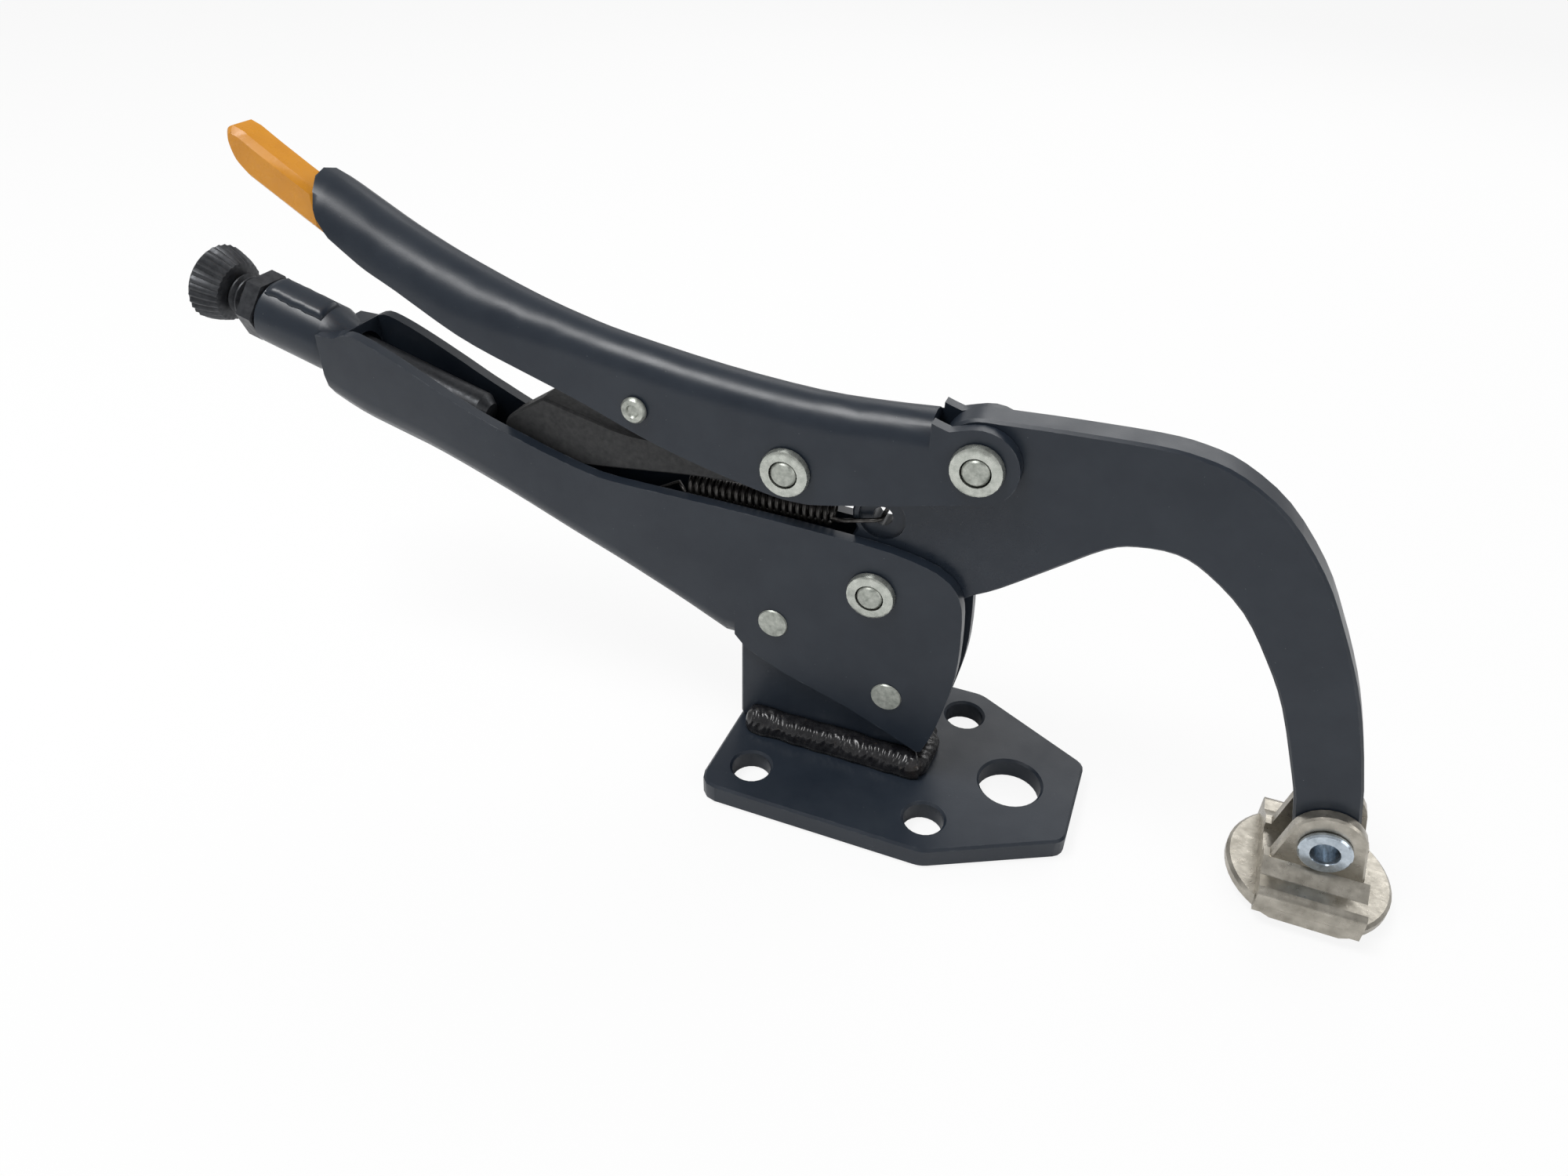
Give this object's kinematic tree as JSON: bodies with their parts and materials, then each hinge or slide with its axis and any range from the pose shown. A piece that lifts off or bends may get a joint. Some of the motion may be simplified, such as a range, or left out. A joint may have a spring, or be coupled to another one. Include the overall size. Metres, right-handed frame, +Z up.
{
  "type": "locking clamp",
  "caption": "Locking C-clamp with a swivel pad, riveted and welded to a flat bolt-down plate, with toggle lever, release lever and adjusting screw.",
  "frame": {"origin": "middle of the mounting plate's underside, between its four bolt holes", "axes": "+Z up out of the plate, +X from the adjusting knob towards the jaw's pad, +Y from the near flange to the far flange"},
  "size_m": [0.2682, 0.052, 0.1213],
  "materials": {
    "black_coat": "satin blue-black coat",
    "blackened_steel": "oiled black oxide",
    "brown_steel": "dusty brown-grey bare link",
    "weld_metal": "glossy coat over rippled weld",
    "zinc": "satin zinc plate",
    "nickel": "soft bright nickel plate",
    "spring_steel": "dark drawn spring wire",
    "yellow_vinyl": "glossy dipped vinyl"
  },
  "bodies": {
    "base": {"base_plate": "black_coat", "upright_tongue": "black_coat", "weld_near": "weld_metal", "weld_far": "weld_metal", "weld_front": "weld_metal", "fixed_handle": "black_coat", "tongue_rivet_front": "zinc", "tongue_rivet_rear": "zinc", "jaw_pivot_pin": "zinc", "jaw_pivot_collar_near": "zinc", "jaw_pivot_collar_far": "zinc"},
    "jaw": {"jaw": "black_coat", "opening_spring": "spring_steel"},
    "lever": {"lever": "black_coat", "lever_pivot_pin": "zinc", "lever_pivot_collar_near": "zinc", "lever_pivot_collar_far": "zinc", "toggle_pivot_pin": "zinc", "toggle_pivot_collar_near": "zinc", "toggle_pivot_collar_far": "zinc", "release_pin": "zinc"},
    "toggle_link": {"toggle_link": "brown_steel"},
    "release_lever": {"release_lever": "black_coat", "release_grip": "yellow_vinyl"},
    "swivel_pad": {"swivel_pad": "nickel", "pad_eyelet": "zinc"},
    "adjusting_screw": {"adjusting_screw": "blackened_steel"},
    "adjusting_knob": {"adjusting_knob": "blackened_steel"},
    "lock_nut": {"lock_nut": "blackened_steel"}
  },
  "joints": [
    {"name": "jaw_swing", "type": "hinge", "parent": "base", "child": "jaw", "pos_m": [0.0011, 0, 0.04962], "axis": [0, -1, 0], "range_deg": [0, 25], "deforming": ["opening_spring"]},
    {"name": "lever_fold", "type": "hinge", "parent": "jaw", "child": "lever", "pos_m": [0.0183, 0, 0.08172], "axis": [0, -1, 0], "range_deg": [-67.5, 0]},
    {"name": "toggle_fold", "type": "hinge", "parent": "lever", "child": "toggle_link", "pos_m": [-0.01764, 0, 0.07291], "axis": [0, -1, 0], "range_deg": [0, 72]},
    {"name": "release_swing", "type": "hinge", "parent": "lever", "child": "release_lever", "pos_m": [-0.04931, 0, 0.0793], "axis": [0, -1, 0], "range_deg": [0, 5]},
    {"name": "pad_swivel", "type": "hinge", "parent": "jaw", "child": "swivel_pad", "pos_m": [0.0942, 0, 0.0163], "axis": [0, -1, 0], "range_deg": [-20, 20]},
    {"name": "screw_travel", "type": "slide", "parent": "base", "child": "adjusting_screw", "axis": [-0.965, 0, 0.2622], "range_m": [0, 0.012]},
    {"name": "knob_turn", "type": "hinge", "parent": "adjusting_screw", "child": "adjusting_knob", "pos_m": [-0.1409, 0, 0.08186], "axis": [-0.965, 0, 0.2622], "range_deg": [0, 2881]},
    {"name": "nut_turn", "type": "hinge", "parent": "adjusting_screw", "child": "lock_nut", "pos_m": [-0.1409, 0, 0.08186], "axis": [-0.965, 0, 0.2622], "continuous": true}
  ],
  "couplings": [
    {"joint": "lever_fold", "follows": "jaw_swing", "ratio": -2.6965},
    {"joint": "toggle_fold", "follows": "jaw_swing", "ratio": 2.8747},
    {"joint": "knob_turn", "follows": "screw_travel", "rad_per_m": 4188.8}
  ]
}
